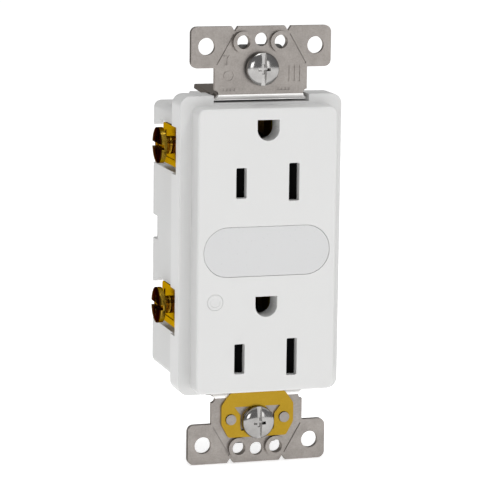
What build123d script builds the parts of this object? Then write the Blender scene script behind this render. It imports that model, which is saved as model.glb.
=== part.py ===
"""Tamper-resistant duplex receptacle with a night light between its two outlets.

Millimetres. X to the right and Z up seen from the room, +Y into the wall box.
The origin is the middle of the device on the back face of the strap's ears.
"""

import math
import os

from build123d import *

os.makedirs("parts", exist_ok=True)

# ---------------------------------------------------------------- driving sizes
strap_height = 103.0          # overall length of the strap, ear to ear
ear_width = 33.74             # width across the plaster ears
strap_thick = 1.2             # strap sheet
face_width = 33.4             # raised face that fills the wall plate's opening
face_height = 66.6
face_proud = 6.37             # face above the strap's front
depth_behind = 24.9           # from the strap's back face to the rear of the body
cover_wall = 2.0              # cover moulding
body_wall = 1.65              # back body moulding
box_screw_spacing = 83.34     # centres of the two box screws
plate_screw_spacing = 96.8    # centres of the wall-plate screws
outlet_spacing = 41.2         # between the two outlets
outlet_mean_z = -4.6          # middle of the two pairs of blade slots
blade_spacing = 12.7          # hot to neutral
terminal_spacing = 38.0       # upper to lower terminal screws
terminal_mean_z = 3.9
terminal_y = 10.7             # terminal screw axes behind the strap
head_reach = 21.8             # terminal screw head's outer face from the middle
shutter_travel = 3.0
clamp_travel = 2.0            # gap a clamp plate closes on the wires

# ---------------------------------------------------------------- clearances
slip = 0.1                    # between parts that slide or drop into each other
run = 0.05                    # radial, a shank turning in its hole
show_gap = 0.1                # visible line round the lens

# ---------------------------------------------------------------- worked out
strap_front = -strap_thick
face_y = strap_front - face_proud
face_back = face_y + cover_wall
flange_front = strap_front - 0.7
flange_back = 5.3
flange_x = face_width / 2 + 2.8
flange_top = face_height / 2 + 2.35
flange_bottom = -face_height / 2 - 1.2
flange_mid = (flange_top + flange_bottom) / 2
body_x = flange_x - 0.75
body_z = face_height / 2 - 1.3
leg_in = face_height / 2 + 1.15   # strap leg's face towards the body, at the bend
leg_out = leg_in + strap_thick
leg_rise = 1.0                 # the leg leans outward towards its rear end
leg_x = 11.15
hump_z = leg_in - 0.2          # raised middle of the body's ends, under the strap
hump_x = 10.6
hump_rear = 23.0
rear = depth_behind
lip_front = 2.2
cover_in_x = face_width / 2 - cover_wall + 0.2
cover_in_z = face_height / 2 - cover_wall + 0.2
skirt_in_x = flange_x - 2.0
skirt_in_z = face_height / 2 - 1.0
cavity_x = 13.4
cavity_z = body_z - body_wall
floor_y = rear - body_wall
bar_front = 15.0               # strap's middle bar inside the body
bar_back = bar_front + strap_thick
bar_x = 5.0
box_z = box_screw_spacing / 2
plate_z = plate_screw_spacing / 2
blade_x = blade_spacing / 2
outlet_z = (outlet_mean_z + outlet_spacing / 2, outlet_mean_z - outlet_spacing / 2)
terminal_z = (
    terminal_mean_z + terminal_spacing / 2,
    terminal_mean_z - terminal_spacing / 2,
)
ground_z = (outlet_z[0] + 12.32, outlet_z[1] + 12.37)
ground_r = 2.65
ground_flat = 2.2              # flat side above the hole's centre
slot_w, hot_h, neutral_h = 2.5, 7.1, 8.8
lens_w, lens_h = 30.4, 11.6
sensor_x, sensor_z, sensor_r = -12.35, -11.6, 1.85
ends = (1, -1)                 # top, bottom; or right, left


# ---------------------------------------------------------------- helpers
def at_y(y):
    """Plane facing the room, with local x to the right and local y up."""
    return Plane.XZ.offset(-y)


def block(xs, ys, zs, mode=Mode.ADD):
    """Box between pairs of limits."""
    mid = [(a + b) / 2 for a, b in (xs, ys, zs)]
    with Locations(tuple(mid)):
        Box(*[abs(b - a) for a, b in (xs, ys, zs)], mode=mode)


def disc(x, z, r, y0, y1, mode=Mode.ADD):
    """Round bar along Y."""
    with BuildSketch(at_y(y1)) as outline:
        with Locations((x, z)):
            Circle(r)
    extrude(outline.sketch, amount=y1 - y0, mode=mode)


def bar_x_axis(x0, x1, y, z, r, mode=Mode.ADD):
    """Round bar along X."""
    low, high = min(x0, x1), max(x0, x1)
    with BuildSketch(Plane.YZ.offset(low)) as outline:
        with Locations((y, z)):
            Circle(r)
    extrude(outline.sketch, amount=high - low, mode=mode)


def rounded(w, h, r, y0, y1, mode=Mode.ADD, x=0, z=0):
    """Rounded rectangle standing on Y, from y0 at the front to y1."""
    with BuildSketch(at_y(y1)) as outline:
        with Locations((x, z)):
            RectangleRounded(w, h, r)
    extrude(outline.sketch, amount=y1 - y0, mode=mode)


def ground_shape(z, grow, y0, y1, mode=Mode.ADD):
    """Earth-pin opening: round below, flat above."""
    r, top = ground_r + grow, ground_flat + grow
    with BuildSketch(at_y(y1)) as outline:
        with Locations((0, z)):
            Circle(r)
        with Locations((0, z + top / 2)):
            Rectangle(2 * r, top)
        with Locations((0, z + top + r)):
            Rectangle(4 * r, 2 * r, mode=Mode.SUBTRACT)
    extrude(outline.sketch, amount=y1 - y0, mode=mode)


def save(builder, label):
    builder.part.label = label
    export_step(builder.part, f"parts/{label}.step")


body_screws = (
    (8.0, body_z - 2.3), (-8.0, body_z - 2.3),
    (13.9, 4.95 - body_z), (-13.9, 4.95 - body_z),
)
boss_r = 2.0
body_screw_r = 1.25

# ---------------------------------------------------------------- face cover
notch_front = 1.5              # flange cut away beside each terminal
pocket_low, pocket_high = 5.9, 5.2   # below and above each terminal screw
with BuildPart() as face_cover:
    rounded(2 * flange_x, flange_top - flange_bottom, 2.4, flange_front, flange_back, z=flange_mid)
    rounded(face_width, face_height, 1.6, face_y, flange_front + 0.6)
    fillet(face_cover.faces().sort_by(Axis.Y)[0].edges(), 0.55)
    # hollow inside
    block((-skirt_in_x, skirt_in_x), (0, flange_back), (-skirt_in_z, skirt_in_z), Mode.SUBTRACT)
    block((-cover_in_x, cover_in_x), (face_back, 0), (-cover_in_z, cover_in_z), Mode.SUBTRACT)
    for side in ends:
        for z in terminal_z:
            block((side * (skirt_in_x - 1), side * (flange_x + 1)), (notch_front, flange_back + 1),
                  (z - pocket_low, z + pocket_high), Mode.SUBTRACT)
    # ends cut back where the strap passes
    for end in ends:
        block((-11.5, 11.5), (flange_front - 1, flange_back + 1),
              (end * (leg_in - 0.5), end * (flange_top + 1)), Mode.SUBTRACT)
    # collars behind the earth-pin openings and screw bosses
    for z in ground_z:
        ground_shape(z, 1.0, face_back - 0.2, -2.0)
    for x, z in body_screws:
        disc(x, z, boss_r, face_back - 0.2, 4.9)
        disc(x, z, body_screw_r + run, -3.6, 4.9, Mode.SUBTRACT)
    # openings through the face
    for z in outlet_z:
        for x, h in ((-blade_x, hot_h), (blade_x, neutral_h)):
            rounded(slot_w, h, 0.35, face_y - 1, face_back, Mode.SUBTRACT, x, z)
    for z in ground_z:
        ground_shape(z, 0, face_y - 1, -1.9, Mode.SUBTRACT)
    rounded(lens_w + 2 * show_gap, lens_h + 2 * show_gap, lens_h / 2 + show_gap - 0.001,
            face_y - 1, face_back, Mode.SUBTRACT)
    disc(sensor_x, sensor_z, sensor_r + run, face_y - 1, face_back, Mode.SUBTRACT)
save(face_cover, "face_cover")

# ---------------------------------------------------------------- back body
pocket_front = 4.6
pocket_in = 15.05
pocket_rear_in = 14.4
pocket_fall = 2.4              # the ceiling drops towards the rear
land_out = 15.0
land_thick = 1.2
land_half = 4.7
land_y = (5.6, 16.6)


def pocket(side, inner, front, z):
    """Recess beside a terminal, open to the side and the rear."""
    low, high = z - pocket_low, z + pocket_high
    with BuildSketch(Plane.YZ.offset(side * inner)) as outline:
        with BuildLine():
            Polyline((front, low), (rear + 1, low), (rear + 1, high - pocket_fall),
                     (land_y[1] + 0.5, high), (front, high), close=True)
        make_face()
    extrude(outline.sketch, amount=side * (body_x + 1 - inner), mode=Mode.SUBTRACT)


with BuildPart() as back_body:
    block((-body_x, body_x), (flange_back, rear), (-body_z, body_z))
    fillet(back_body.edges().filter_by(Axis.Y), 1.8)
    fillet(back_body.faces().sort_by(Axis.Y)[-1].edges(), 0.8)
    block((-hump_x, hump_x), (flange_back, hump_rear), (-hump_z, hump_z))
    fillet(back_body.edges().filter_by(Axis.X).filter_by(lambda e: abs(e.center().Z) > hump_z - 0.1
                                                         and e.center().Y > hump_rear - 0.1), 2.0)
    block((-skirt_in_x + slip, skirt_in_x - slip), (lip_front, flange_back),
          (-skirt_in_z + slip, skirt_in_z - slip))
    # contact chamber
    block((-cavity_x, cavity_x), (lip_front - 1, floor_y), (-cavity_z, cavity_z), Mode.SUBTRACT)
    # tubes for the body screws
    for x, z in body_screws:
        disc(x, z, boss_r + 0.4, 5.0, rear - 0.9)
        disc(x, z, body_screw_r + run, lip_front - 1, rear, Mode.SUBTRACT)
        disc(x, z, boss_r + run, lip_front - 1, 5.0, Mode.SUBTRACT)
        disc(x, z, 2.35, rear - 1.7, rear + 1, Mode.SUBTRACT)
    # end slots that the strap's bar drops through
    block((-bar_x - slip, bar_x + slip), (lip_front - 1, bar_back + 0.8),
          (-hump_z - 1, hump_z + 1), Mode.SUBTRACT)
    # hollows down the side walls, open to the front
    for side in ends:
        block((side * 15.0, side * 17.0), (lip_front - 1, floor_y), (-7.6, 15.6), Mode.SUBTRACT)
        # notch in the rear edge
        block((side * (body_x - 1.2), side * (body_x + 1)), (rear - 4.9, rear + 1), (-1.2, 4.5),
              Mode.SUBTRACT)
        for z in terminal_z:
            pocket(side, pocket_in, pocket_front, z)
            pocket(side, pocket_rear_in, land_y[1] + 0.3, z)
            # window that the contact strip's land sits in
            block((side * (cavity_x - 0.1), side * (pocket_in + 0.1)), (lip_front - 1, land_y[1] + slip),
                  (z - land_half - slip, z + land_half + slip), Mode.SUBTRACT)
    # recess for the grounding tab, open to the bottom and front
    block((16.45, body_x + 1), (lip_front - 1, 17.0), (-body_z - 1, -22.4), Mode.SUBTRACT)
    bar_x_axis(15.6, 16.5, 11.0, -27.0, 2.3, Mode.SUBTRACT)
    # ribs that locate the contact strips
    for side in ends:
        for z in (10.4, -5.6, -24.0):
            block((side * (cavity_x - 3.4), side * cavity_x), (16.9, floor_y), (z - 0.6, z + 0.6))
save(back_body, "back_body")

# ---------------------------------------------------------------- strap
collar_x, collar_z = 4.5, plate_z - 0.5
ear_hole_x, ear_hole_z = 13.13, 46.94
rivet_x, rivet_z = 6.54, -40.92
ear_bottom = 41.95
with BuildPart() as mounting_strap:
    for end in ends:
        with BuildSketch(at_y(0)):
            with Locations((0, end * (ear_bottom + strap_height / 2) / 2)):
                RectangleRounded(ear_width, strap_height / 2 - ear_bottom, 1.5)
            with Locations((0, end * (ear_bottom + 1 + leg_out) / 2)):
                Rectangle(2 * leg_x, ear_bottom + 1 - leg_out)
            for side in ends:
                with BuildLine():
                    Polyline((side * 5.1, end * 52), (side * 6.4, end * 50.3),
                             (side * 7.5, end * 52), close=True)
                make_face(mode=Mode.SUBTRACT)
                with Locations((side * (leg_x + 0.05), end * (leg_out + 0.2))):
                    Circle(0.95, mode=Mode.SUBTRACT)
                with Locations((side * ear_hole_x, end * ear_hole_z)):
                    Circle(2.0, mode=Mode.SUBTRACT)
            with Locations((0, end * plate_z)):
                Circle(1.55, mode=Mode.SUBTRACT)
            with Locations((0, end * box_z)):
                Circle(2.1, mode=Mode.SUBTRACT)
        extrude(amount=strap_thick)
        # leg that runs back along the body, and its bend
        block((-leg_x + 0.8, leg_x - 0.8), (strap_front, 0), (end * leg_in, end * (leg_out + 1)))
        with BuildSketch(Plane.YZ.offset(-leg_x)):
            with BuildLine():
                Polyline((0, end * leg_in), (bar_back, end * (leg_in + leg_rise)),
                         (bar_back, end * (leg_out + leg_rise)), (0, end * leg_out), close=True)
            make_face()
        extrude(amount=2 * leg_x)
    block((-bar_x, bar_x), (bar_front, bar_back), (-leg_out, leg_out))
    fillet(mounting_strap.edges().filter_by(Axis.X).filter_by(
        lambda e: abs(e.center().Y - strap_front) < 0.01
        and abs(abs(e.center().Z) - leg_in) < 0.01), strap_thick - 0.05)
    fillet(mounting_strap.edges().filter_by(Axis.X).filter_by(
        lambda e: abs(e.center().Y - bar_back) < 0.01
        and abs(abs(e.center().Z) - leg_out - leg_rise) < 0.01), strap_thick - 0.2)
    for end in ends:
        for side in ends:
            disc(side * collar_x, end * collar_z, 2.45, strap_front - 0.9, 0)
            disc(side * collar_x, end * collar_z, 1.575, strap_front - 1, 1, Mode.SUBTRACT)
            # scored line for breaking the ear off
            start, tip = Vector(side * 11.0, strap_front, end * 42.3), Vector(side * 6.5, strap_front, end * 50.1)
            with BuildSketch(Plane(start, x_dir=tip - start, z_dir=(0, -1, 0))):
                with Locations(((tip - start).length / 2, 0)):
                    Rectangle((tip - start).length, 0.35)
            extrude(amount=-0.3, mode=Mode.SUBTRACT)
    for side in ends:
        disc(side * rivet_x, rivet_z, 1.22, strap_front - 1.0, strap_front)
    # grounding tab at the lower right
    block((leg_x - 1, 17.8), (6.0, 16.0), (-leg_out, -leg_in))
    block((16.6, 17.8), (6.0, 16.0), (-leg_out, -22.6))
    bar_x_axis(16, 18, 11.0, -27.0, 2.08 + run, Mode.SUBTRACT)
    # holes that the contact rivets pass through
    for z in ground_z:
        disc(0, z, 1.0 + run, bar_front - 1, bar_back + 1, Mode.SUBTRACT)
save(mounting_strap, "mounting_strap")

# ---------------------------------------------------------------- self-grounding clip
clip_thick = 0.6
with BuildPart() as grounding_clip:
    with BuildSketch(at_y(strap_front)):
        with BuildLine():
            Polyline((-7.1, -45.33), (7.1, -45.33), (8.87, -42.1), (8.87, -37.5), (6.6, -34.5),
                     (-6.6, -34.5), (-8.87, -37.5), (-8.87, -42.1), close=True)
        make_face()
        for side in ends:
            with BuildLine():
                Polyline((side * 5.5, -38.0), (side * 2.0, -38.0), (side * 3.9, -40.3), close=True)
            make_face(mode=Mode.SUBTRACT)
            with BuildLine():
                Polyline((side * 3.6, -39.9), (side * 4.2, -39.9), (side * 4.2, -42.0),
                         (side * 4.0, -43.5), (side * 3.3, -43.9), (side * 3.1, -43.4),
                         (side * 3.5, -43.2), (side * 3.6, -42.0), close=True)
            make_face(mode=Mode.SUBTRACT)
            with Locations((side * rivet_x, rivet_z)):
                Circle(1.22 + run, mode=Mode.SUBTRACT)
        with Locations((0, -box_z)):
            Circle(1.9, mode=Mode.SUBTRACT)
    extrude(amount=clip_thick)
save(grounding_clip, "grounding_clip")

# ---------------------------------------------------------------- box screws and retainers
box_neck_r, box_thread_r, box_head_r = 1.6, 1.75, 3.85
box_head_back = strap_front - 1.0
box_head_front = strap_front - 2.7
for label, end in (("top", 1), ("bottom", -1)):
    z = end * box_z
    with BuildPart() as box_screw:
        disc(0, z, box_neck_r, box_head_back, 1.1)
        disc(0, z, box_thread_r, 1.05, rear - 3.0)
        with BuildSketch(Plane.XY.offset(z)):
            with BuildLine():
                Polyline((0, box_head_back), (box_head_r, box_head_back),
                         (box_head_r, box_head_back - 0.55))
                ThreePointArc((box_head_r, box_head_back - 0.55),
                              (box_head_r * 0.62, box_head_front + 0.32), (0, box_head_front))
                Line((0, box_head_front), (0, box_head_back))
            make_face()
        revolve(axis=Axis((0, 0, z), (0, 1, 0)))
        block((-0.55, 0.55), (box_head_front - 1, box_head_front + 0.95), (z - 5, z + 5), Mode.SUBTRACT)
        block((-1.9, 1.9), (box_head_front - 1, box_head_front + 1.2), (z - 0.45, z + 0.45), Mode.SUBTRACT)
        block((-0.45, 0.45), (box_head_front - 1, box_head_front + 1.2), (z - 1.9, z + 1.9), Mode.SUBTRACT)
        chamfer(box_screw.faces().sort_by(Axis.Y)[-1].edges(), 0.5)
    save(box_screw, f"{label}_box_screw")
    with BuildPart() as retainer:
        rounded(11.0, 11.0, 1.0, 0.05, 0.85, x=0, z=z)
        disc(0, z, box_neck_r + run, -1, 2, Mode.SUBTRACT)
    save(retainer, f"{label}_screw_retainer")

# ---------------------------------------------------------------- hot and neutral contact strips
finger_y = (-0.6, 13.3)
rail_y = (6.0, finger_y[1])
rail_in = cavity_x - 1.3
terminal_shank_r = 2.08
for label, side in (("hot", -1), ("neutral", 1)):
    with BuildPart() as contact_strip:
        for z in terminal_z:
            block((side * land_out, side * (land_out - land_thick)), land_y, (z - land_half, z + land_half))
        upper, lower = terminal_z
        jogs = (upper - land_half, lower + land_half - 1.0, lower - land_half)
        for z in jogs:
            block((side * land_out, side * rail_in), rail_y, (z, z + 1.0))
        block((side * (cavity_x - slip), side * rail_in), rail_y, (jogs[1], jogs[0] + 1.0))
        block((side * (cavity_x - slip), side * rail_in), rail_y, (outlet_z[1] + 0.9, jogs[2] + 1.0))
        for z in outlet_z:
            # arm from the rail to the foot of the blade clip
            foot_y = (finger_y[1] - 0.8, finger_y[1])
            block((side * rail_in, side * blade_x), foot_y, (z + 0.9, z + 3.2))
            block((side * (blade_x + 1.3), side * (blade_x - 1.3)), foot_y, (z - 3.2, z + 3.2))
            with BuildSketch(Plane.XY.offset(z - 3.2)):
                for leaf in ends:
                    with BuildLine():
                        Polyline(*[(side * blade_x + leaf * x, y) for x, y in (
                            (1.3, finger_y[1]), (0.7, finger_y[1]), (0.95, 8.0), (0.6, 3.2), (1.2, finger_y[0]),
                            (1.8, finger_y[0]), (1.2, 3.2), (1.55, 8.0), (1.3, finger_y[1] - 0.4))],
                            close=True)
                    make_face()
            extrude(amount=6.4)
        for z in terminal_z:
            bar_x_axis(side * 16, side * (rail_in - 1), terminal_y, z, terminal_shank_r + run, Mode.SUBTRACT)
    save(contact_strip, f"{label}_contact_strip")

# ---------------------------------------------------------------- earth contacts and their rivets
for label, z in (("upper", ground_z[0]), ("lower", ground_z[1])):
    with BuildPart() as earth_contact:
        block((-3.0, 3.0), (bar_front - 0.8, bar_front), (z - 2.6, z + 2.6))
        with BuildSketch(Plane.XY.offset(z - 2.6)):
            for leaf in ends:
                with BuildLine():
                    Polyline(*[(leaf * x, y) for x, y in (
                        (3.0, bar_front), (2.4, bar_front), (2.6, 8.0), (2.2, 3.0), (2.8, -0.6),
                        (3.4, -0.6), (2.8, 3.0), (3.2, 8.0))], close=True)
                make_face()
        extrude(amount=5.2)
        disc(0, z, 1.0 + run, bar_front - 2, bar_front + 1, Mode.SUBTRACT)
    save(earth_contact, f"{label}_earth_contact")
with BuildPart() as contact_rivets:
    for z in ground_z:
        disc(0, z, 1.0, bar_front - 1.2, bar_back + 0.4)
        disc(0, z, 1.7, bar_front - 1.5, bar_front - 0.8)
        disc(0, z, 1.7, bar_back, bar_back + 0.7)
save(contact_rivets, "contact_rivets")

# ---------------------------------------------------------------- terminals
head_thick, head_r = 1.5, 4.25
ground_head = 2.05
plate_thick = 1.2
plate_out = land_out + plate_thick + clamp_travel + 0.2
plate_y = (4.8, 16.8)
for label, side, z in (
    ("hot_upper", -1, terminal_z[0]), ("hot_lower", -1, terminal_z[1]),
    ("neutral_upper", 1, terminal_z[0]), ("neutral_lower", 1, terminal_z[1]),
):
    with BuildPart() as clamp_plate:
        block((side * plate_out, side * (plate_out - plate_thick)), plate_y, (z - 4.7, z + 4.7))
        fillet(clamp_plate.edges().filter_by(Axis.X), 0.8)
        for lane in ends:
            with BuildSketch(Plane.XZ.offset(-plate_y[1] - 1)):
                with Locations((side * (plate_out - plate_thick - 0.6), z + lane * 3.2)):
                    Circle(1.15)
            extrude(amount=plate_y[1] - plate_y[0] + 2, mode=Mode.SUBTRACT)
        bar_x_axis(side * 16, side * 20, terminal_y, z, terminal_shank_r + run, Mode.SUBTRACT)
    save(clamp_plate, f"{label}_clamp_plate")
    with BuildPart() as terminal_screw:
        bar_x_axis(side * 11.5, side * (head_reach - head_thick), terminal_y, z, terminal_shank_r)
        bar_x_axis(side * (head_reach - head_thick), side * head_reach, terminal_y, z, head_r)
        fillet(terminal_screw.edges().filter_by(
            lambda e: abs(abs(e.center().X) - head_reach) < 0.01), 0.3)
        block((side * (head_reach - 0.9), side * (head_reach + 1)), (terminal_y - 5, terminal_y + 5),
              (z - 0.6, z + 0.6), Mode.SUBTRACT)
        block((side * (head_reach - 1.1), side * (head_reach + 1)), (terminal_y - 0.5, terminal_y + 0.5),
              (z - 2.1, z + 2.1), Mode.SUBTRACT)
    save(terminal_screw, f"{label}_screw")
with BuildPart() as ground_screw:
    bar_x_axis(15.9, 19.4, 11.0, -27.0, terminal_shank_r)
    with BuildSketch(Plane.YZ.offset(19.4)):
        with Locations((11.0, -27.0)):
            RegularPolygon(4.4, 6)
    extrude(amount=ground_head)
    block((20.4, 22), (6, 16), (-27.6, -26.4), Mode.SUBTRACT)
save(ground_screw, "ground_screw")

# ---------------------------------------------------------------- night light
board_y = (-0.9, 0.1)
with BuildPart() as night_light_lens:
    rounded(lens_w, lens_h, lens_h / 2 - 0.01, face_y, face_back)
    rounded(2 * (cover_in_x - slip), lens_h + 1.8, 3.0, face_back, face_back + 0.6)
save(night_light_lens, "night_light_lens")
with BuildPart() as sensor_window:
    disc(sensor_x, sensor_z, sensor_r, face_y, face_back + 0.1)
    disc(sensor_x, sensor_z, sensor_r - 0.75, face_y - 0.1, face_y + 0.25, Mode.SUBTRACT)
    disc(sensor_x, sensor_z, sensor_r - 0.05, face_back, face_back + 0.7)
save(sensor_window, "sensor_window")
led_x = (-9.6, -3.2, 3.2, 9.6)
light_tray_x = cover_in_x - 0.3
with BuildPart() as light_tray:
    block((-light_tray_x, light_tray_x), (face_back + 0.6, board_y[0]), (-6.8, 6.8))
    block((0.8 - light_tray_x, light_tray_x - 0.8), (face_back, board_y[0] - 0.9), (-6.0, 6.0), Mode.SUBTRACT)
    for x in led_x:
        disc(x, 0, 1.55, board_y[0] - 2, board_y[0] + 1, Mode.SUBTRACT)
save(light_tray, "light_tray")
with BuildPart() as circuit_board:
    block((-light_tray_x + slip, light_tray_x - slip), board_y, (-9.4, 8.7))
    block((-light_tray_x + slip, -10.3), board_y, (-14.4, -9.4))
save(circuit_board, "circuit_board")
with BuildPart() as leds:
    for x in led_x:
        disc(x, 0, 1.3, board_y[0] - 1.3, board_y[0])
        with Locations((x, board_y[0] - 1.3, 0)):
            Sphere(1.2)
save(leds, "leds")
with BuildPart() as photocell:
    disc(sensor_x, sensor_z, 1.5, -3.6, board_y[0])
save(photocell, "photocell")
with BuildPart() as resistors:
    for x in (-9.0, -4.0, 4.0):
        bar_x_axis(x - 1.4, x + 1.4, board_y[0] - 0.6, 7.75, 0.6)
save(resistors, "resistors")
with BuildPart() as rectifier:
    block((8.0, 11.8), (board_y[0] - 1.6, board_y[0]), (-9.2, -7.1))
save(rectifier, "rectifier")
with BuildPart() as capacitor:
    disc(5.6, -8.1, 1.1, board_y[0] - 3.0, board_y[0])
save(capacitor, "capacitor")
with BuildPart() as board_leads:
    for side in ends:
        disc(side * 12.7, 7.6, 0.4, board_y[1], rail_y[0])
save(board_leads, "board_leads")

# ---------------------------------------------------------------- tamper-resistant shutters
slide_y = (-5.1, -3.0)
floor_front = slide_y[1] + slip
tray_left, tray_right, tray_h = -8.0, 11.1, cover_in_z + outlet_z[1] - 1.1
for label, z in (("upper", outlet_z[0]), ("lower", outlet_z[1])):
    with BuildPart() as shutter_frame:
        block((tray_left - 1.0, tray_right + 0.7), (face_back + 0.05, floor_front + 1.2),
              (z - tray_h - 0.9, z + tray_h + 0.9))
        block((tray_left, tray_right), (face_back - 1, floor_front), (z - tray_h, z + tray_h), Mode.SUBTRACT)
        for x in (-blade_x, blade_x):
            block((x - 1.5, x + 1.5), (floor_front - 1, floor_front + 2), (z - 4.7, z + 4.7), Mode.SUBTRACT)
        block((0.2, 1.0), (slide_y[0], floor_front + 0.2), (z - 1.0, z + 1.0))
    save(shutter_frame, f"{label}_shutter_frame")
    with BuildPart() as shutter:
        block((tray_left + slip, -tray_left - slip), slide_y, (z - tray_h + slip, z + tray_h - slip))
        # ramps that the two blades push on
        for x in (-blade_x, blade_x):
            with BuildSketch(Plane.XY.offset(z - tray_h)):
                with BuildLine():
                    Polyline((x - 1.5, slide_y[0] - 1), (x + 1.5, slide_y[0] - 1), (x + 1.5, slide_y[0]),
                             (x - 1.5, slide_y[1] - 0.6), close=True)
                make_face()
            extrude(amount=2 * tray_h, mode=Mode.SUBTRACT)
        # opening that lines up with the neutral slot when the shutter has moved
        block((blade_x - shutter_travel - 1.5, blade_x - shutter_travel + 1.5),
              (slide_y[0] - 1, slide_y[1] + 1), (z - 4.7, z + 4.7), Mode.SUBTRACT)
        # spring pocket
        block((-4.6, 1.2), (slide_y[0] - 1, slide_y[1] + 1), (z - 1.2, z + 1.2), Mode.SUBTRACT)
    save(shutter, f"{label}_shutter")
    with BuildPart() as shutter_spring:
        with BuildLine() as coil:
            Helix(pitch=0.86, height=4.3, radius=0.8, center=(-4.35, -4.0, z), direction=(1, 0, 0))
        with BuildSketch(Plane(coil.line @ 0, z_dir=coil.line % 0)):
            Circle(0.16)
        sweep(path=coil.line, is_frenet=True)
    save(shutter_spring, f"{label}_shutter_spring")

# ---------------------------------------------------------------- screws that hold the body together
with BuildPart() as body_screw_set:
    for x, z in body_screws:
        disc(x, z, body_screw_r, -3.2, rear - 1.7)
        disc(x, z, 2.2, rear - 1.7, rear - 0.3)
        block((x - 0.3, x + 0.3), (rear - 1.0, rear), (z - 1.5, z + 1.5), Mode.SUBTRACT)
        block((x - 1.5, x + 1.5), (rear - 1.0, rear), (z - 0.3, z + 0.3), Mode.SUBTRACT)
save(body_screw_set, "body_screws")
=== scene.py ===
# %% [markdown]
# A duplex wall receptacle with a night light between its two outlets.
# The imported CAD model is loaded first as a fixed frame. Every visible piece is then modelled again
# by hand, a little finer than the CAD, in the same place and size, and rides on its CAD body.
# The pieces inside keep their CAD shape and get a proper finish.

# %% Load the frame
import bpy, math
from mathutils import Matrix, Vector


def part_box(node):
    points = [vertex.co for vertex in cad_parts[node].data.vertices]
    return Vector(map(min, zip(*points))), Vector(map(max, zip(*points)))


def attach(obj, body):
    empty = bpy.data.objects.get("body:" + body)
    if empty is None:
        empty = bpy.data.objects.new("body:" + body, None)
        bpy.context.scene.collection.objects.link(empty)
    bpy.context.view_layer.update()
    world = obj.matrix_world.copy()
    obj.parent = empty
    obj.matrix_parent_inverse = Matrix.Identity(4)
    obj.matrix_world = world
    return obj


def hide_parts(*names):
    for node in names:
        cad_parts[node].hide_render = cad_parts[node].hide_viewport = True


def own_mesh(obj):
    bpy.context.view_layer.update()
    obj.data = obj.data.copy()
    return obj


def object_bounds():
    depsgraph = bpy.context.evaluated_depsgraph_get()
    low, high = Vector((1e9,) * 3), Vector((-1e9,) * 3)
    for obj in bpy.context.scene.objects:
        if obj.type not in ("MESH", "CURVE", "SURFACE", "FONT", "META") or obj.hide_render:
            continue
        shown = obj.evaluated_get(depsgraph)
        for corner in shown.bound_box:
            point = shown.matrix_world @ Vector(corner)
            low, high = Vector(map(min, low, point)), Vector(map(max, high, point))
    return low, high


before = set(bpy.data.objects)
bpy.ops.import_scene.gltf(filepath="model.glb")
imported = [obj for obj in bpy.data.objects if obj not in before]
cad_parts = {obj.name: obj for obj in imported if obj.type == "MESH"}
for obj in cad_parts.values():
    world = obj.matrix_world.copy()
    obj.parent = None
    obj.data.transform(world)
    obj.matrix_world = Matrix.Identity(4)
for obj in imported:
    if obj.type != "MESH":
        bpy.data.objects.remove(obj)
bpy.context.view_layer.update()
MM = 0.001

# %% [markdown]
# The camera stands a little to the left and above, far away with a long lens, as for a shop picture.
# It is turned by a matrix made from its own right, up and back directions, with a slight roll.

# %% Camera
azimuth, elevation, roll = math.radians(17.019), math.radians(9.727), math.radians(0.699)
aim = Vector((-3.393, -1.2, 0.511)) * MM
distance = 621.33 * MM
look = Vector((math.sin(azimuth) * math.cos(elevation), math.cos(azimuth) * math.cos(elevation),
               -math.sin(elevation)))
level = Vector((math.cos(azimuth), -math.sin(azimuth), 0))
above = level.cross(look)
right = math.cos(roll) * level + math.sin(roll) * above
up = math.cos(roll) * above - math.sin(roll) * level
cam = bpy.data.objects.new("camera", bpy.data.cameras.new("camera"))
bpy.context.scene.collection.objects.link(cam)
facing = Matrix((right, up, -look)).transposed().to_4x4()
cam.matrix_world = Matrix.Translation(aim - distance * look) @ facing
cam.data.lens, cam.data.sensor_width = 196.03, 36.0
cam.data.clip_start, cam.data.clip_end = 0.05, 20
bpy.context.scene.camera = cam
print("camera", [round(v, 3) for v in cam.location])

# %% [markdown]
# Shader arithmetic reads best as a formula. One small class wraps a socket, so that
# 0.4 + grain * 0.1 adds the Math nodes itself. Every other node comes from one method.

# %% Formulas for materials
class Wire:
    """An output socket that can be added, multiplied and so on."""

    def __init__(self, finish, out):
        self.finish, self.out = finish, out

    def calc(self, kind, a, b):
        return self.finish.node("ShaderNodeMath", {"operation": kind}, {0: a, 1: b})

    def __add__(self, b): return self.calc("ADD", self, b)
    def __radd__(self, b): return self.calc("ADD", b, self)
    def __sub__(self, b): return self.calc("SUBTRACT", self, b)
    def __rsub__(self, b): return self.calc("SUBTRACT", b, self)
    def __mul__(self, b): return self.calc("MULTIPLY", self, b)
    def __rmul__(self, b): return self.calc("MULTIPLY", b, self)
    def __gt__(self, b): return self.calc("GREATER_THAN", self, b)


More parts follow.
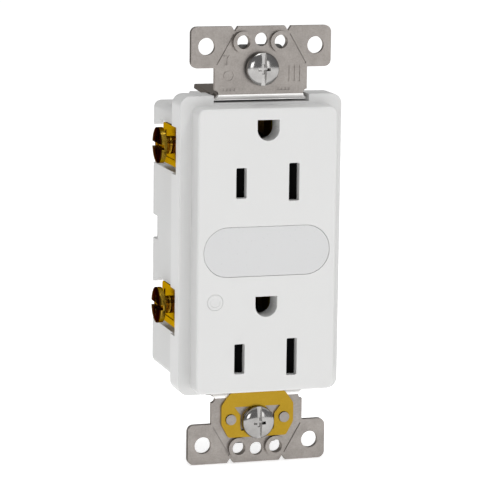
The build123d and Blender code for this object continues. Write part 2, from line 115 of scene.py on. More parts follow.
class Finish:
    """A material under construction."""

    def __init__(self, name):
        self.mat = bpy.data.materials.new(name)
        self.mat.use_nodes = True
        self.tree = self.mat.node_tree
        self.shader = self.tree.nodes["Principled BSDF"]

    def node(self, kind, settings=None, inputs=None, out=0):
        made = self.tree.nodes.new(kind)
        for key, value in (settings or {}).items():
            if key == "stops":
                while len(made.color_ramp.elements) < len(value):
                    made.color_ramp.elements.new(0.5)
                for stop, (place, colour) in zip(made.color_ramp.elements, value):
                    stop.position, stop.color = place, (*colour, 1)
            else:
                setattr(made, key, value)
        for key, value in (inputs or {}).items():
            self.feed(made.inputs[key], value)
        return Wire(self, made.outputs[out])

    def feed(self, socket, value):
        if isinstance(value, Wire):
            self.tree.links.new(value.out, socket)
        elif value is not None:
            socket.default_value = (*value, 1) if socket.type == "RGBA" and len(value) == 3 else value

    def set(self, **values):
        for key, value in values.items():
            self.feed(self.shader.inputs[key.replace("_", " ")], value)
        return self

    def place(self, scale=(1, 1, 1), turn=(0, 0, 0)):
        coords = self.node("ShaderNodeTexCoord", out="Object")
        return self.node("ShaderNodeMapping", inputs={"Vector": coords, "Scale": scale, "Rotation": turn})

    def noise(self, scale, detail=3.0, stretch=(1, 1, 1), rough=0.55):
        return self.node("ShaderNodeTexNoise", inputs={
            "Vector": self.place(stretch), "Scale": scale, "Detail": detail, "Roughness": rough})

    def mix(self, factor, a, b):
        return self.node("ShaderNodeMix", {"data_type": "RGBA"}, {"Factor": factor, 6: a, 7: b}, out=2)

    def bump(self, height, strength, distance):
        return self.node("ShaderNodeBump", inputs={
            "Height": height, "Strength": strength, "Distance": distance * MM})

# %% [markdown]
# The white mouldings are nylon and thermoplastic polyester. A moulding is never one flat colour:
# the tool's fine spark texture scatters light, the flow leaves faint broad clouds, and handling
# leaves hair scratches that only show in the gloss.

# %% Moulded plastics
def moulded(name, colour, shade, rough, grain=0.10, coat=0.0, gloss=0.5):
    f = Finish(name)
    clouds = f.noise(55, 2.0)
    specks = f.noise(1700, 4.0)
    hairs = f.noise(420, 3.0, stretch=(9, 9, 0.5))
    f.set(Base_Color=f.mix(clouds * 0.8 + specks * 0.2, shade, colour),
          Roughness=rough - 0.06 + specks * 0.10 + (hairs > 0.66) * 0.07,
          Coat_Weight=coat, Coat_Roughness=0.2,
          Normal=f.bump(specks + hairs * 0.35, grain, 0.02))
    f.shader.inputs["Specular IOR Level"].default_value = gloss
    return f.mat


WHITE_FACE = moulded("white nylon face", (0.700, 0.700, 0.692), (0.672, 0.672, 0.664), 0.40)
WHITE_BODY = moulded("white housing", (0.680, 0.680, 0.672), (0.635, 0.635, 0.626), 0.55, 0.16)
MILK_LENS = moulded("milky lens", (0.632, 0.634, 0.634), (0.610, 0.612, 0.612), 0.30, 0.05, 0.15)
MILK_WINDOW = moulded("milky window", (0.690, 0.690, 0.682), (0.664, 0.664, 0.656), 0.36, 0.06)
# The shutters are dark plastic; their near-zero colour and missing gloss are also painted shade for the
# depth of the slots.
SHUTTER_BLACK_AND_SLOT_SHADE = moulded("dark shutter", (0.0035, 0.0035, 0.004), (0.002, 0.002, 0.002), 0.7, 0.1, 0.0, 0.05)
GREY_FRAME = moulded("grey shutter frame", (0.26, 0.26, 0.27), (0.22, 0.22, 0.23), 0.5)
TRAY_WHITE = moulded("reflector white", (0.80, 0.80, 0.80), (0.74, 0.74, 0.74), 0.5)
CHIP_BLACK = moulded("component black", (0.018, 0.018, 0.019), (0.030, 0.030, 0.031), 0.4)
FIBRE_GREY = moulded("grey fibre", (0.30, 0.30, 0.29), (0.20, 0.20, 0.195), 0.75, 0.5)
BOARD_GREEN = moulded("solder mask", (0.010, 0.085, 0.035), (0.008, 0.060, 0.026), 0.3, 0.12, 0.3)
LED_YELLOW = moulded("phosphor", (0.75, 0.68, 0.25), (0.68, 0.60, 0.18), 0.25, 0.05, 0.5)
RESISTOR_BLUE = moulded("resistor lacquer", (0.10, 0.26, 0.36), (0.08, 0.20, 0.29), 0.3, 0.08, 0.4)
print("plastics made")

# %% [markdown]
# The strap is cold-rolled steel with zinc on it, the contacts and terminals are brass. Rolling leaves
# fine lines along the sheet, plating pools in soft patches, and brass dulls to brown where it was touched.
# The lines are noise stretched along one axis; the patches steer both tone and gloss. On the strap, the
# bend is painted near white, a painted highlight that stands for the white cover it mirrors. The outer
# edges, and the legs that run back along the body, are painted darker as painted shade.

# %% Metals
def metal(name, bright, dull, rough, lines=(1, 1, 14), bump=0.12, patch=90, bend=0.0, rim=None):
    """bend is how strongly the strap's bend gets its painted highlight, and it also turns on the painted
    shade of the strap's edges and legs; rim is the tint of reflections at a low angle.
    """
    f = Finish(name)
    rolled = f.noise(900, 4.0, stretch=lines)
    pools = f.noise(patch, 5.0, rough=0.65)
    pits = f.noise(2600, 2.0)
    tone = pools * 1.1 - 0.15 + rolled * 0.25 + pits * 0.5 - 0.27
    colour = f.mix(tone, dull, bright)
    if bend:
        x, y, z = [f.node("ShaderNodeSeparateXYZ", inputs={0: f.place()}, out=n) for n in range(3)]
        height, across = [f.node("ShaderNodeMath", {"operation": "ABSOLUTE"}, {0: v}) for v in (z, x)]
        # Painted shade: the legs that run back along the body, and the outer edges of the ears and legs,
        # are painted darker.
        leg = (y - 0.6 * MM > 0) * (height - 34 * MM > 0)
        painted_edge_shade = (across - 16.82 * MM > 0) * 1.0 + leg * (across - 11.1 * MM > 0)
        colour = f.mix(leg * 0.6, colour, dull)
        colour = f.mix(painted_edge_shade * 0.8, colour, [c * 0.25 for c in dull])
        # Painted highlight: the bend is painted near white, standing for the white cover it mirrors.
        painted_bend_highlight = (35.75 * MM - height > 0) * (-0.05 * MM - y > 0)
        colour = f.mix(painted_bend_highlight * bend, colour, (1.0, 0.99, 0.98))
    f.set(Metallic=1.0, Base_Color=colour, Specular_Tint=rim,
          Roughness=rough - 0.10 + pools * 0.14 + rolled * 0.10,
          Normal=f.bump(rolled * 0.7 + pits * 0.4, bump, 0.02))
    return f.mat


ZINC = metal("zinc plated steel", (0.41, 0.38, 0.355), (0.19, 0.173, 0.16), 0.36, (1, 1, 5), 0.55, 260,
             bend=0.95, rim=(0.6, 0.57, 0.54))
BRIGHT_ZINC = metal("bright zinc screw", (0.66, 0.65, 0.64), (0.40, 0.39, 0.38), 0.16, (1, 1, 1), 0.06)
BRASS_SHEET = metal("brass sheet", (0.43, 0.275, 0.028), (0.30, 0.18, 0.013), 0.30, (1, 1, 10), 0.12)
BRASS_SCREW = metal("brass screw", (0.66, 0.44, 0.06), (0.36, 0.21, 0.02), 0.22, (1, 1, 1), 0.08,
                    rim=(0.55, 0.42, 0.12))
NICKEL = metal("nickel plated brass", (0.66, 0.64, 0.60), (0.50, 0.48, 0.44), 0.26, (1, 1, 1), 0.08)
SPRING_WIRE = metal("spring wire", (0.55, 0.54, 0.52), (0.40, 0.39, 0.38), 0.28, (1, 1, 1), 0.05)
print("metals made")

# %% [markdown]
# Screw shanks carry a thread. Modelling it would cost thousands of faces on a piece that is mostly hidden,
# so its ridge is a wave in the bump: the distance along the axis plus the angle round it. The same wave
# also lightens and darkens the colour a little, a painted highlight and shade along the ridge.

# %% Threaded metals
PITCH = 0.794


def threaded(name, bright, dull, rough, axis, centre, start, dark_reflection_from=None):
    """axis is 0 or 1, centre the two other coordinates of the screw's line, start where the thread begins.
    The last argument says where along the axis the face of the head begins; from there the face is painted
    nearly black, a painted dark reflection."""
    f = Finish(name)
    pools = f.noise(140, 4.0, rough=0.6)
    parts = [f.node("ShaderNodeSeparateXYZ", inputs={0: f.place()}, out=n) for n in range(3)]
    along = parts[axis]
    side, height = [parts[n] for n in range(3) if n != axis]
    angle = f.node("ShaderNodeMath", {"operation": "ARCTAN2"}, {
        0: height - centre[1] * MM, 1: side - centre[0] * MM})
    wave = f.node("ShaderNodeMath", {"operation": "SINE"}, {
        0: along * (2 * math.pi / (PITCH * MM)) + angle})
    if axis == 0:
        along = f.node("ShaderNodeMath", {"operation": "ABSOLUTE"}, {0: along})
        cut = start * MM - along > 0
    else:
        cut = along - start * MM > 0
    # The thread's wave in the colour is a painted highlight and shade along the ridge.
    colour = f.mix(pools * 1.4 - 0.2 + wave * cut * 0.2, dull, bright)
    # Painted dark reflection: from the given point out, the face of the head is painted nearly black.
    if dark_reflection_from:
        painted_dark_reflection = (along - dark_reflection_from * MM > 0) * (0.75 + pools * 0.3)
        colour = f.mix(painted_dark_reflection, colour, (0.022, 0.014, 0.003))
        f.set(Specular_Tint=(0.30, 0.23, 0.06))
    f.set(Metallic=1.0, Base_Color=colour, Roughness=rough - 0.08 + pools * 0.16,
          Normal=f.bump(wave * cut, 0.9, 0.10))
    return f.mat


# %% [markdown]
# Each modelling tool does what a hand would do in the viewport: add a primitive at its size and
# place, pick edges or faces by where they are, bevel them, cut with a second solid, trim with a plane.

# %% Modelling tools
def alone(*objs):
    if bpy.context.object and bpy.context.object.mode != "OBJECT":
        bpy.ops.object.mode_set(mode="OBJECT")
    bpy.ops.object.select_all(action="DESELECT")
    for o in objs:
        o.select_set(True)
        bpy.context.view_layer.objects.active = o


def settle(o, name):
    alone(o)
    bpy.ops.object.transform_apply(location=True, rotation=True, scale=True)
    o.name = o.data.name = name
    return o


def box(name, xs, ys, zs):
    bpy.ops.object.select_all(action="DESELECT")
    mid = [(a + b) / 2 * MM for a, b in (xs, ys, zs)]
    bpy.ops.mesh.primitive_cube_add(size=MM, location=mid)
    o = bpy.context.object
    o.scale = [abs(b - a) for a, b in (xs, ys, zs)]
    return settle(o, name)


def rod(name, axis, start, end, centre, r, sides=64, r2=None):
    """A round bar along X (axis 0) or Y (axis 1); centre holds its two other coordinates."""
    bpy.ops.object.select_all(action="DESELECT")
    place = list(centre)
    place.insert(axis, (start + end) / 2)
    turn = (0, math.pi / 2, 0) if axis == 0 else (-math.pi / 2, 0, 0)
    bpy.ops.mesh.primitive_cone_add(vertices=sides, radius1=r * MM, radius2=(r if r2 is None else r2) * MM,
                                    depth=abs(end - start) * MM, location=Vector(place) * MM, rotation=turn)
    return settle(bpy.context.object, name)


def pick(o, edges=None, faces=None):
    """Edit mode with only the edges or faces selected that pass a test on their ends or centre, in mm.
    Gives back the middle of what is selected."""
    alone(o)
    mesh = o.data
    for group in (mesh.vertices, mesh.edges, mesh.polygons):
        group.foreach_set("select", [False] * len(group))
    bpy.ops.object.mode_set(mode="EDIT")
    bpy.ops.mesh.select_mode(type="EDGE" if edges else "FACE")
    bpy.ops.mesh.select_all(action="DESELECT")
    bpy.ops.object.mode_set(mode="OBJECT")
    if edges:
        for e in mesh.edges:
            a, b = (mesh.vertices[v].co / MM for v in e.vertices)
            e.select = bool(edges(a, b))
    else:
        for p in mesh.polygons:
            p.select = bool(faces(p.center / MM, p.normal))
    spots = [v.co.copy() for v in mesh.vertices if v.select]
    if not edges:
        spots = [p.center.copy() for p in mesh.polygons if p.select]
    bpy.ops.object.mode_set(mode="EDIT")
    return sum(spots, Vector()) / max(len(spots), 1)


def done():
    bpy.ops.object.mode_set(mode="OBJECT")


def bevel_edges(o, test, width, steps=6):
    pick(o, edges=test)
    bpy.ops.mesh.bevel(offset=width * MM, segments=steps, affect="EDGES", clamp_overlap=True)
    done()
    return o


def along_y(a, b):
    return abs(a.y - b.y) > 0.2 and abs(a.x - b.x) < 1e-3 and abs(a.z - b.z) < 1e-3


def combine(o, others, kind="DIFFERENCE"):
    """Cuts the others out of o, or adds them, with an exact boolean that is applied."""
    for other in others if isinstance(others, (list, tuple)) else [others]:
        alone(o)
        m = o.modifiers.new("cut", "BOOLEAN")
        m.operation, m.solver, m.object = kind, "EXACT", other
        bpy.ops.object.modifier_apply(modifier=m.name)
        bpy.data.objects.remove(other, do_unlink=True)
    return o


def trim(o, point, direction):
    """Cuts away what lies beyond a plane and closes the cut."""
    pick(o, faces=lambda c, n: True)
    bpy.ops.mesh.bisect(plane_co=Vector(point) * MM, plane_no=Vector(direction).normalized(),
                        use_fill=True, clear_outer=True)
    done()
    return o


def soften(o, width, steps=2, angle=35):
    """A small round on every sharp edge left, as a mould or a press leaves it."""
    alone(o)
    m = o.modifiers.new("round", "BEVEL")
    m.width, m.segments, m.limit_method, m.angle_limit = width * MM, steps, "ANGLE", math.radians(angle)
    m.miter_outer = "MITER_ARC"
    m.use_clamp_overlap = True
    bpy.ops.object.modifier_apply(modifier=m.name)
    bpy.ops.object.shade_smooth_by_angle(angle=math.radians(32))
    flat = o.modifiers.new("flat", "WEIGHTED_NORMAL")
    flat.keep_sharp = True
    bpy.ops.object.modifier_apply(modifier=flat.name)
    return o


def finish(o, material, body, slot, *nodes):
    """Paints the piece, puts it on its body and lets it stand for its CAD nodes."""
    o.data.materials.clear()
    o.data.materials.append(material)
    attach(o, body)
    if nodes:
        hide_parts(*nodes)
    size = [round((max(v.co[i] for v in o.data.vertices) - min(v.co[i] for v in o.data.vertices)) / MM, 2)
            for i in range(3)]
    print(o.name, "faces", len(o.data.polygons), "size", size)
    return o


ENDS = (1, -1)

# %% [markdown]
# The face cover is one injection moulding: a wide thin-walled flange that closes the body, and a raised
# block that fills the wall plate's opening. Two boxes are joined, then hollowed and pierced with solid
# cutters, because that keeps every wall at its real thickness.

# %% Face cover: outside
lo, hi = [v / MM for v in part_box("face_cover")]
shoulder = lo.y + 5.67
cover = box("face_cover_shell", (lo.x, hi.x), (shoulder, hi.y), (lo.z, hi.z))
bevel_edges(cover, along_y, 2.4, 8)
block = box("block", (-16.7, 16.7), (lo.y, shoulder + 0.6), (-33.3, 33.3))
bevel_edges(block, along_y, 1.6, 8)
bevel_edges(block, lambda a, b: max(a.y, b.y) < lo.y + 0.01, 0.55, 5)
combine(cover, block, "UNION")
print("cover outside", len(cover.data.polygons))

# %% [markdown]
# Behind, the cover is hollow; in front it has blade slots, earth holes, the lens opening and the round
# sensor opening. Each is cut by a solid of the opening's own shape, so its walls stay square.

# %% Face cover: inside and openings
OUTLETS, EARTHS = (16.0, -25.2), (28.32, -12.83)
TERMINALS = (22.9, -15.1)
SENSOR = (-12.35, -11.6)
FRONT_CUT = (lo.y - 1, lo.y + 2.4)


def pocket_height(z):
    """The room above and below a terminal's screw."""
    return (z - 5.9, z + 5.2)


combine(cover, [box("skirt", (-17.5, 17.5), (0, 9), (-32.3, 32.3)),
                box("room", (-14.9, 14.9), (lo.y + 2.0, 0.1), (-31.5, 31.5))])
combine(cover, [box("gap", (-11.5, 11.5), (shoulder - 1, 9), (end * 33.95, end * 37)) for end in ENDS])
combine(cover, [box("notch", (side * 16.4, side * 20.5), (1.5, 9), pocket_height(z))
                for side in ENDS for z in TERMINALS])


def earth_hole(name, z, grow, y0, y1):
    """Round below and flat above: a bar whose top is trimmed and squared."""
    r = 2.65 + grow
    hole = rod(name, 1, y0, y1, (0, z), r, 48)
    combine(hole, box("square", (-r, r), (y0, y1), (z, z + 2.2 + grow)), "UNION")
    return combine(hole, box("top", (-9, 9), (y0 - 1, y1 + 1), (z + 2.2 + grow, z + 9)))


for z in EARTHS:
    combine(cover, earth_hole("collar", z, 1.0, lo.y + 1.8, -2.0), "UNION")
    combine(cover, earth_hole("pin", z, 0, lo.y - 1, -1))
for z in OUTLETS:
    for x, h in ((-6.35, 7.1), (6.35, 8.8)):
        slot = box("slot", (x - 1.25, x + 1.25), FRONT_CUT, (z - h / 2, z + h / 2))
        combine(cover, bevel_edges(slot, along_y, 0.3, 3))
lens_hole = box("lens_hole", (-15.25, 15.25), FRONT_CUT, (-5.85, 5.85))
combine(cover, bevel_edges(lens_hole, along_y, 5.84, 20))
combine(cover, rod("eye", 1, *FRONT_CUT, SENSOR, 1.9))
soften(cover, 0.16, 2, 40)
finish(cover, WHITE_FACE, "base", "cover_white", "face_cover")

# %% [markdown]
# The lens is a flush stadium of milky plastic that spreads the light of the lamps behind it.
# A flat box with its four corners rounded by half its height gives the shape in one bevel.

# %% Lens and light-sensor window
lens = box("night_light_diffuser", (-15.2, 15.2), (lo.y + 0.02, lo.y + 2.0), (-5.8, 5.8))
bevel_edges(lens, along_y, 5.79, 24)
bevel_edges(lens, lambda a, b: max(a.y, b.y) < lo.y + 0.03, 0.18, 3)
back = box("ledge", (-14.8, 14.8), (lo.y + 2.0, lo.y + 2.6), (-6.7, 6.7))
combine(lens, bevel_edges(back, along_y, 3.0, 6), "UNION")
soften(lens, 0.05, 1, 50)
finish(lens, MILK_LENS, "base", "lens_milk", "night_light_lens")
eye = rod("light_sensor_eye", 1, lo.y, lo.y + 2.7, SENSOR, 1.85)
pick(eye, faces=lambda c, n: n.y < -0.9)
bpy.ops.mesh.inset(thickness=0.62 * MM)
bpy.ops.mesh.inset(thickness=0.12 * MM)
bpy.ops.transform.translate(value=(0, 0.14 * MM, 0))
done()
soften(eye, 0.06, 2, 40)
finish(eye, MILK_WINDOW, "base", "window_milk", "sensor_window")

# %% [markdown]
# The back body is the deep housing. Its side pockets hold the terminals and open to the rear, so that
# wires can be pushed in behind the clamp plates. The raised middle of each end lies under the strap.

# %% Back body: outside
body_lo, body_hi = [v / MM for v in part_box("back_body")]
rear = body_hi.y
housing = box("housing", (body_lo.x, body_hi.x), (5.3, rear), (-32.0, 32.0))
bevel_edges(housing, along_y, 1.8, 6)
bevel_edges(housing, lambda a, b: min(a.y, b.y) > rear - 0.01, 0.8, 4)
hump = box("hump", (-10.6, 10.6), (5.3, 23.0), (body_lo.z, body_hi.z))
bevel_edges(hump, lambda a, b: min(a.y, b.y) > 22.9 and abs(a.x - b.x) > 1, 2.0, 8)
bevel_edges(hump, along_y, 0.6, 3)
combine(housing, hump, "UNION")
combine(housing, box("lip", (-17.4, 17.4), (2.2, 5.4), (-32.2, 32.2)), "UNION")
combine(housing, box("chamber", (-13.4, 13.4), (1.0, rear - 1.65), (-30.35, 30.35)))

print("housing outside", len(housing.data.polygons))

# %% [markdown]
# Four tubes take the screws that hold body and cover together. The terminal pockets are cut from the
# side, with a sloping ceiling that lets the tool out, and their windows reach in to the contact strips.

# %% Back body: pockets, slots and screw tubes
EARTH_SCREW = (11.0, -27.0)
for x, z in ((8.0, 29.7), (-8.0, 29.7), (13.9, -27.05), (-13.9, -27.05)):
    combine(housing, rod("tube", 1, 5.0, rear - 0.9, (x, z), 2.4, 32), "UNION")
    combine(housing, [rod("bore", 1, 1.0, rear + 1, (x, z), 1.3, 32),
                      rod("mouth", 1, 1.0, 5.0, (x, z), 2.05, 32),
                      rod("sink", 1, rear - 1.7, rear + 1, (x, z), 2.35, 48)])
combine(housing, box("bar_slot", (-5.1, 5.1), (1.0, 17.0), (-36, 36)))
for side in ENDS:
    cuts = [box("hollow", (side * 15.0, side * 17.0), (1.0, rear - 1.65), (-7.6, 15.6)),
            box("notch", (side * 17.55, side * 20), (rear - 4.9, rear + 1), (-1.2, 4.5))]
    for z in TERMINALS:
        pocket = box("pocket", (side * 15.05, side * 20), (4.6, rear + 1), pocket_height(z))
        entry = box("entry", (side * 14.4, side * 20), (16.9, rear + 1), pocket_height(z))
        cuts += [trim(o, (0, 17.1, z + 5.2), (0, 2.4, 8.8)) for o in (pocket, entry)]
        cuts += [box("window", (side * 13.3, side * 15.15), (1.0, 16.7), (z - 4.8, z + 4.8))]
    combine(housing, cuts)
combine(housing, [box("tab_room", (16.45, 20), (1.0, 17.0), (-33, -22.4)),
                  rod("tab_hole", 0, 15.6, 16.6, EARTH_SCREW, 2.3, 40)])
soften(housing, 0.18, 2, 40)
finish(housing, WHITE_BODY, "base", "body_white", "back_body")

# %% [markdown]
# The strap is one steel stamping: ears with scored break-off lines, round holes, two drawn collars at
# each end, a tight bend at the body and a leg that runs back along it. Sheet shapes are cut from a slab
# of the right thickness; the collars are short tubes, and the bend is a bevel of the outer corner.

# %% Strap: one end
BOX_SCREW_Z = 41.67
LEG = (34.45, 35.65)
NECK = (-11.15, 11.15)


def strap_end(end):
    def zs(a, b):
        return (end * a, end * b)

    plate = box("strap_end", (-16.87, 16.87), (-1.2, 0), zs(41.95, 51.5))
    bevel_edges(plate, along_y, 1.5, 6)
    neck = box("neck", NECK, (-1.2, 0), zs(LEG[0], 43.0))
    bevel_edges(neck, lambda a, b: max(a.y, b.y) < -1.19 and abs(a.z) < 35 and abs(b.z) < 35, 1.15, 8)
    leg = box("leg", NECK, (-0.6, 16.2), zs(*LEG))
    pick(leg, faces=lambda c, n: n.y > 0.9)
    bpy.ops.transform.translate(value=(0, 0, end * 1.0 * MM))
    done()
    bevel_edges(leg, lambda a, b: min(a.y, b.y) > 16.19 and abs(a.z) > 36 and abs(b.z) > 36, 1.0, 8)
    combine(combine(plate, neck, "UNION"), leg, "UNION")
    for side in ENDS:
        combine(plate, rod("relief", 1, -3, 3, (side * 11.2, end * 35.85), 0.95, 32))
        combine(plate, rod("collar", 1, -2.1, -0.6, (side * 4.5, end * 47.9), 2.5, 64, 2.42), "UNION")
        combine(plate, [rod("hole", 1, -4, 2, (side * 4.5, end * 47.9), 1.575),
                        rod("ear_hole", 1, -4, 2, (side * 13.13, end * 46.94), 2.0)])
        notch = box("notch", (side * 5.1, side * 7.5), (-3, 2), zs(50.3, 53))
        for lean in (-1.15, 1.15):
            trim(notch, (side * 6.4, 0, end * 50.3), (lean, 0, end * -0.75))
        combine(plate, notch)
        score = box("score", (-0.17, 0.17), (-1.5, -0.92), (-4.0, 4.0))
        score.rotation_euler.y = math.atan2(side * -4.5, end * 7.8)
        score.location = Vector((side * 8.75, 0, end * 46.2)) * MM
        combine(plate, settle(score, "score"))
    combine(plate, [rod("plate_hole", 1, -4, 2, (0, end * 48.4), 1.55),
                    rod("screw_hole", 1, -4, 2, (0, end * BOX_SCREW_Z), 2.1)])
    return plate


strap = strap_end(1)
print("upper end", len(strap.data.polygons))

# %% [markdown]
# The lower end is the same stamping turned over. A bar inside the body joins the two, a tab bent up at
# the lower right takes the green earth screw, and two studs at the bottom hold the clip.

# %% Strap: whole
CLIP_STUD = (6.54, -40.92)
combine(strap, strap_end(-1), "UNION")
combine(strap, box("bar", (-5, 5), (15.0, 16.2), (-36.0, 36.0)), "UNION")
tab = box("tab", (10.2, 17.8), (6.0, 16.0), (-LEG[1], -LEG[0]))
combine(tab, box("tab_up", (16.6, 17.8), (6.0, 16.0), (-LEG[1], -22.6)), "UNION")
bevel_edges(tab, lambda a, b: min(a.x, b.x) > 17.79 and max(a.z, b.z) < -35.4, 1.1, 6)
combine(strap, tab, "UNION")
combine(strap, [rod("tap", 0, 15, 19, EARTH_SCREW, 2.13, 48)] +
        [rod("rivet_hole", 1, 14, 18, (0, z), 1.05, 32) for z in EARTHS])
for side in ENDS:
    combine(strap, rod("stud", 1, -2.2, -0.6, (side * CLIP_STUD[0], CLIP_STUD[1]), 1.22, 40), "UNION")

# %% [markdown]
# The real strap carries stamped lettering. In its place go a plain arrow, a ring and rows of
# short bars, struck a little into the sheet, so the metal has the same busy look and says nothing.

# %% Strap: stamped arrow, ring and bars
def bars(count, x, width, step, floor_y, zs):
    """A row of struck bars from x on; floor_y is the depth they reach."""
    return [box("bar", (x + n * step, x + n * step + width), (-1.5, floor_y), zs) for n in range(count)]


marks = bars(3, 6.3, 0.5, 1.3, -1.02, (38.6, 42.4))
marks += bars(4, -9.6, 0.55, 0.9, -1.05, (36.6, 37.3)) + bars(4, 3.6, 0.55, 0.9, -1.05, (36.6, 37.3))
marks += bars(4, -3.4, 1.0, 1.9, -1.05, (-37.5, -37.0))
ring = rod("ring", 1, -1.5, -1.05, (-8.0, 40.2), 1.3, 40)
combine(ring, rod("ring_middle", 1, -2, 0, (-8.0, 40.2), 0.95, 40))
marks += [ring, box("arrow", (-8.8, -8.2), (-1.5, -1.02), (42.6, 44.2)),
          rod("arrow_head", 1, -1.5, -1.02, (-8.5, 44.5), 0.9, 3)]
combine(strap, marks)
soften(strap, 0.12, 2, 40)
finish(strap, ZINC, "base", "zinc_steel", "mounting_strap")

# %% [markdown]
# The self-grounding clip is thin spring brass. Its outline is a rectangle whose corners are trimmed off
# with planes; two triangular windows, each with a slit below, leave tongues that press on the screw.

# %% Grounding clip
clip = box("earth_spring_clip", (-8.87, 8.87), (-1.8, -1.2), (-45.33, -34.5))
for side in ENDS:
    trim(clip, (side * 8.87, 0, -42.1), (side * 3.23, 0, -1.77))
    trim(clip, (side * 8.87, 0, -37.5), (side * 3.0, 0, 2.27))
bevel_edges(clip, along_y, 0.5, 3)
for side in ENDS:
    window = box("window", (side * 1.9, side * 5.6), (-3, 0), (-40.3, -38.0))
    trim(window, (side * 2.0, 0, -38.0), (side * -2.3, 0, -1.9))
    trim(window, (side * 5.5, 0, -38.0), (side * 2.3, 0, -1.6))
    slit = box("slit", (side * 3.6, side * 4.15), (-3, 0), (-43.2, -39.6))
    hook = box("hook", (side * 3.1, side * 4.0), (-3, 0), (-43.7, -43.2))
    stud_hole = rod("stud_hole", 1, -3, 0, (side * CLIP_STUD[0], CLIP_STUD[1]), 1.27, 40)
    combine(clip, [window, slit, hook, stud_hole])
combine(clip, rod("thread_hole", 1, -3, 0, (0, -BOX_SCREW_Z), 1.9, 40))
soften(clip, 0.08, 2, 40)
finish(clip, BRASS_SHEET, "base", "brass_sheet", "grounding_clip")

# %% [markdown]
# The box screws have a low domed head with a cross recess and a long slot, so either driver fits. The
# dome is grown from the head's front face: extrude a little, shrink a little, along a circle's arc.

# %% Box screws
def dome(o, axis, sign, r, rise, rings=6):
    """Grows a low dome from the face that looks along sign * axis."""
    centre = pick(o, faces=lambda c, n: n[axis] * sign > 0.95)
    size, height = 1.0, 0.0
    for n in range(1, rings + 1):
        turn = n / rings * math.pi / 2 * 0.93
        step = [0, 0, 0]
        step[axis] = sign * (math.sin(turn) * rise - height) * MM
        bpy.ops.mesh.extrude_region_move(TRANSFORM_OT_translate={"value": step})
        shrink = [math.cos(turn) / size] * 3
        shrink[axis] = 1
        bpy.ops.transform.resize(value=shrink, center_override=centre)
        size, height = math.cos(turn), math.sin(turn) * rise
    done()
    return o


for label, z in (("top", BOX_SCREW_Z), ("bottom", -BOX_SCREW_Z)):
    name = f"{label}_box_screw"
    front, back = [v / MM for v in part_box(name)]
    head = rod(f"{label}_domed_screw", 1, -2.75, -2.2, (0, z), 3.85, 72)
    dome(head, 1, -1, 3.85, -2.75 - front.y, 8)
    combine(head, rod("shank", 1, -2.4, back.y - 0.5, (0, z), 1.75, 48), "UNION")
    combine(head, rod("point", 1, back.y - 0.6, back.y, (0, z), 1.75, 48, 1.3), "UNION")
    cross = [box("slot", (-0.55, 0.55), (front.y - 1, front.y + 0.95), (z - 5, z + 5))]
    for w, h in ((1.9, 0.45), (0.45, 1.9)):
        arm = box("arm", (-w, w), (front.y - 1, front.y + 1.25), (z - h, z + h))
        pick(arm, faces=lambda c, n: n.y > 0.9)
        tip = Vector((0, front.y + 1.25, z)) * MM
        bpy.ops.transform.resize(value=(0.55, 1, 0.55), center_override=tip)
        done()
        cross.append(arm)
    combine(head, cross)
    soften(head, 0.09, 2, 38)
    steel = threaded(f"{label} screw zinc", (0.50, 0.49, 0.48), (0.20, 0.195, 0.19), 0.13, 1, (0, z), 1.1)
    finish(head, steel, f"{label}_screw", "bright_screw", name)
    washer = box(f"{label}_washer", (-5.5, 5.5), (0.05, 0.85), (z - 5.5, z + 5.5))
    bevel_edges(washer, along_y, 1.0, 5)
    combine(washer, rod("hole", 1, -1, 2, (0, z), 1.8, 48))
    soften(washer, 0.08)
    finish(washer, FIBRE_GREY, f"{label}_retainer", "retainer_grey", f"{label}_screw_retainer")

# %% [markdown]
# Each side terminal is a square pressure plate under a big slotted screw. The plate is a stamped square
# with two grooves that hold the wires; the screw's head is a thick disc with a rounded rim, a slot and a
# small cross recess.

# %% Side terminals
TERMINAL_Y = 10.7
BINDING_R = 2.08


def clamp_plate(label, side, z):
    plate = box(f"{label}_plate", (side * 18.4, side * 17.2), (4.8, 16.8), (z - 4.7, z + 4.7))
    bevel_edges(plate, lambda a, b: abs(a.x - b.x) > 0.5, 0.8, 5)
    grooves = [rod("groove", 1, 4, 18, (side * 16.6, z + lane * 3.2), 1.15, 32) for lane in ENDS]
    combine(plate, grooves + [rod("hole", 0, side * 16, side * 20, (TERMINAL_Y, z), 2.13, 48)])
    rim = box("rim", (side * 18.2, side * 19), (6.3, 15.3), (z - 3.2, z + 3.2))
    combine(plate, bevel_edges(rim, lambda a, b: abs(a.x - b.x) > 0.5, 0.6, 4))
    return soften(plate, 0.14, 3, 40)


def terminal_screw(label, side, z):
    line = (TERMINAL_Y, z)
    head = rod(f"{label}_binding_screw", 0, side * 20.3, side * 21.55, line, 4.25, 72)
    dome(head, 0, side, 4.25, 0.25, 5)
    shank = rod("shank", 0, side * 12.0, side * 20.5, line, BINDING_R, 48)
    left_r, right_r = (1.6, BINDING_R) if side > 0 else (BINDING_R, 1.6)
    point = rod("point", 0, side * 11.5, side * 12.1, line, left_r, 48, right_r)
    combine(head, [shank, point], "UNION")
    combine(head, [box("slot", (side * 20.9, side * 23), (5, 16), (z - 0.6, z + 0.6)),
                   box("arm", (side * 20.7, side * 23), (10.2, 11.2), (z - 2.1, z + 2.1)),
                   box("arm", (side * 20.7, side * 23), (8.6, 12.8), (z - 0.5, z + 0.5))])
    return soften(head, 0.12, 2, 38)


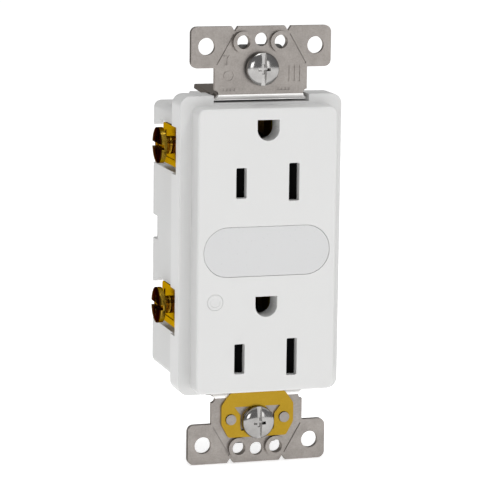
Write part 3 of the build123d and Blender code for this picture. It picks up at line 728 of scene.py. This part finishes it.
for kind, side, sheet, tones in (("hot", -1, BRASS_SCREW, ((0.56, 0.37, 0.04), (0.22, 0.12, 0.010))),
                                 ("neutral", 1, NICKEL, ((0.66, 0.64, 0.60), (0.48, 0.46, 0.42)))):
    # The hot screws get the painted dark reflection on the faces of their heads.
    slot_name, dark_reflection_from = ("brass_screw", 21.4) if kind == "hot" else ("nickel_brass", None)
    for level_name, z in zip(("upper", "lower"), TERMINALS):
        label = f"{kind}_{level_name}"
        finish(clamp_plate(label, side, z), sheet, f"{label}_clamp", slot_name, f"{label}_clamp_plate")
        plated = threaded(f"{label} screw", *tones, 0.16, 0, (TERMINAL_Y, z), 19.0, dark_reflection_from)
        screw = terminal_screw(label, side, z)
        finish(screw, plated, f"{label}_terminal_screw", slot_name, f"{label}_screw")
green = rod("green_hex_screw", 0, 19.4, 21.1, EARTH_SCREW, 4.4, 6)
dome(green, 0, 1, 4.4, 0.35, 3)
combine(green, rod("shank", 0, 15.9, 19.6, EARTH_SCREW, BINDING_R, 48), "UNION")
combine(green, box("slot", (20.4, 23), (5, 17), (-27.6, -26.4)))
soften(green, 0.12, 2, 30)
dyed = threaded("green screw", (0.03, 0.30, 0.09), (0.02, 0.17, 0.05), 0.3, 0, EARTH_SCREW, 19.0)
finish(green, dyed, "earth_screw", "green_screw", "ground_screw")

# %% [markdown]
# Everything inside keeps its CAD shape. Each hidden piece still gets its real finish: it shows through
# the slots, and when the part is taken apart.

# %% Finishes for the inner pieces
inner = {
    "hot_contact_strip": BRASS_SHEET, "neutral_contact_strip": BRASS_SHEET,
    "upper_earth_contact": BRASS_SHEET, "lower_earth_contact": BRASS_SHEET,
    "contact_rivets": BRIGHT_ZINC, "light_tray": TRAY_WHITE,
    "circuit_board": BOARD_GREEN, "leds": LED_YELLOW, "photocell": CHIP_BLACK, "resistors": RESISTOR_BLUE,
    "rectifier": CHIP_BLACK, "capacitor": CHIP_BLACK, "board_leads": BRIGHT_ZINC,
    "upper_shutter_frame": GREY_FRAME, "lower_shutter_frame": GREY_FRAME, "upper_shutter": SHUTTER_BLACK_AND_SLOT_SHADE,
    "lower_shutter": SHUTTER_BLACK_AND_SLOT_SHADE, "upper_shutter_spring": SPRING_WIRE, "lower_shutter_spring": SPRING_WIRE,
    "body_screws": BRIGHT_ZINC,
}
for node, material in inner.items():
    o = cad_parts[node]
    o.data.materials.clear()
    o.data.materials.append(material)
for label in ("upper", "lower"):
    spring = f"{label}_shutter_spring"
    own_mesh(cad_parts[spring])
print("inner finishes", len(inner))

# %% [markdown]
# The floor is pale and plain. The surroundings are brighter behind the object and dimmer behind the
# camera, so the metal has something darker to mirror, and four soft lamps shape the white plastic.

# %% Stage and lights
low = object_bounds()[0].z
bpy.ops.object.select_all(action="DESELECT")
bpy.ops.mesh.primitive_plane_add(size=8, location=(0, 0, low - 0.0002))
floor = settle(bpy.context.object, "floor")
pale = Finish("pale floor")
pale.set(Base_Color=(0.93, 0.93, 0.93), Roughness=0.9 - pale.noise(40) * 0.05, Emission_Color=(1, 1, 1),
         Emission_Strength=0.62)
floor.data.materials.append(pale.mat)


def lamp(name, place, size, power):
    """A square soft lamp that looks at the middle of the object."""
    light = bpy.data.objects.new(name, bpy.data.lights.new(name, "AREA"))
    bpy.context.scene.collection.objects.link(light)
    light.data.shape, light.data.size, light.data.energy = "SQUARE", size, power
    light.location = place
    light.rotation_euler = (-Vector(place)).to_track_quat("-Z", "Y").to_euler()


lamp("key", (0.60, -1.15, 1.50), 0.26, 7.0)
lamp("top", (-0.1, -0.1, 1.6), 0.8, 8.5)
lamp("fill", (0.5, -1.3, 0.2), 0.4, 1.0)
lamp("edge", (-0.60, -1.25, 0.3), 0.45, 2.1)
world = bpy.data.worlds.new("studio")
bpy.context.scene.world = world
world.use_nodes = True
sky = world.node_tree
coords = sky.nodes.new("ShaderNodeTexCoord")
split = sky.nodes.new("ShaderNodeSeparateXYZ")
ramp = sky.nodes.new("ShaderNodeValToRGB")
ramp.color_ramp.elements[0].position, ramp.color_ramp.elements[0].color = 0.42, (0.28, 0.28, 0.285, 1)
ramp.color_ramp.elements[1].position, ramp.color_ramp.elements[1].color = 0.80, (0.42, 0.42, 0.42, 1)
shift = sky.nodes.new("ShaderNodeMapRange")
shift.inputs["From Min"].default_value = -1
sky.links.new(coords.outputs["Generated"], split.inputs[0])
sky.links.new(split.outputs["Y"], shift.inputs["Value"])
sky.links.new(shift.outputs[0], ramp.inputs[0])
seen = sky.nodes.new("ShaderNodeLightPath")
white_if_seen = sky.nodes.new("ShaderNodeMix")
white_if_seen.data_type = "RGBA"
white_if_seen.inputs[7].default_value = (1, 1, 1, 1)
sky.links.new(seen.outputs["Is Camera Ray"], white_if_seen.inputs["Factor"])
sky.links.new(ramp.outputs[0], white_if_seen.inputs[6])
sky.links.new(white_if_seen.outputs[2], sky.nodes["Background"].inputs["Color"])
bpy.context.scene.view_settings.view_transform = "Standard"
